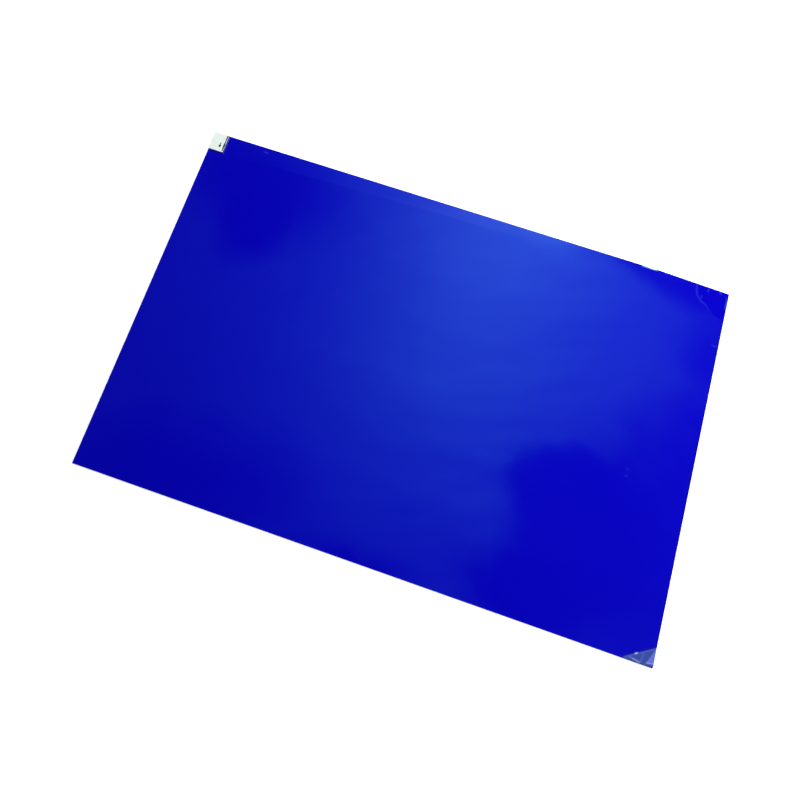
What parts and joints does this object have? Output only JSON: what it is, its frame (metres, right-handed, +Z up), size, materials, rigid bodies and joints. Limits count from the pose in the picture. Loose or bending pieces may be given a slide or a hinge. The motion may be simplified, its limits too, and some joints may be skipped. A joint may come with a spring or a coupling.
{
  "type": "cleanroom sticky mat",
  "caption": "Rectangular pad of blue tacky film sheets with a white peel tab at one corner, under a clear cover film whose far corner has come up.",
  "frame": {"origin": "centre of the release liner's underside, on the floor", "axes": "+X along the long edge, away from the peel tabs; +Y along the short edge, towards the edge that has the peel tabs; +Z up, from the floor to the cover film"},
  "size_m": [0.9, 0.6, 0.0071],
  "materials": {
    "blue_film": "glossy",
    "white_tab": "satin",
    "clear_film": "glossy"
  },
  "bodies": {
    "root": {"release_liner": "clear_film", "adhesive_sheets": "blue_film", "number_tabs": "white_tab", "cover_film": "clear_film"}
  },
  "joints": []
}
